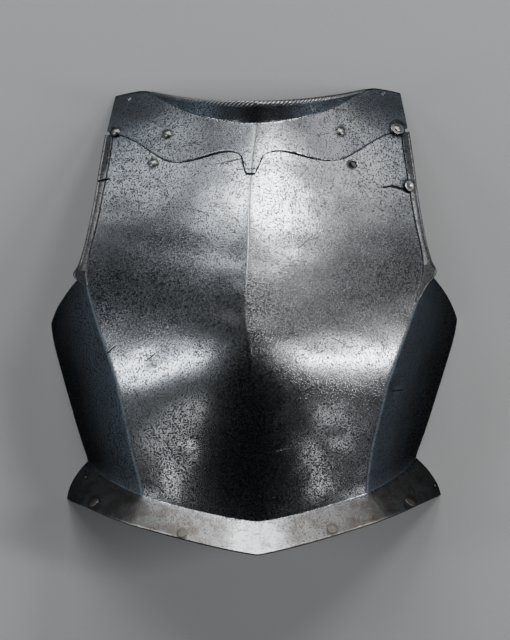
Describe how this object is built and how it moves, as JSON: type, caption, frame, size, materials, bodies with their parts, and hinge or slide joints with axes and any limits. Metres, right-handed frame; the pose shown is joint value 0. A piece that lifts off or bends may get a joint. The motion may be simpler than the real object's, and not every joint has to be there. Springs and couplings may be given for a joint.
{
  "type": "breastplate",
  "caption": "Old steel breastplate with a central keel, a riveted neck plate with a roped collar, arm gussets and a flared waist flange.",
  "frame": {"origin": "on the surface that the side panels' back edges rest on, under the middle of the whole plate", "axes": "+Y from the waist to the neck, +Z out of the chest, +X to the right of someone who looks at the front"},
  "size_m": [0.381, 0.4253, 0.1653],
  "materials": {
    "breast_steel": "pitted polished steel",
    "neck_steel": "pitted polished steel",
    "gusset_steel": "worn steel",
    "rivet_steel": "worn steel"
  },
  "bodies": {
    "root": {"breast_plate": "breast_steel", "neck_plate": "neck_steel", "gusset_left": "gusset_steel", "gusset_right": "gusset_steel", "rivet_neck_left_outer": "rivet_steel", "rivet_neck_left_inner": "rivet_steel", "rivet_neck_right_inner": "rivet_steel", "rivet_neck_right_outer": "rivet_steel", "rivet_chest_left": "rivet_steel", "rivet_gusset_right": "rivet_steel", "rivet_flange_left_end": "rivet_steel", "rivet_flange_left_outer": "rivet_steel", "rivet_flange_left_inner": "rivet_steel", "rivet_flange_right_inner": "rivet_steel", "rivet_flange_right_outer": "rivet_steel", "rivet_flange_right_end": "rivet_steel"}
  },
  "joints": []
}
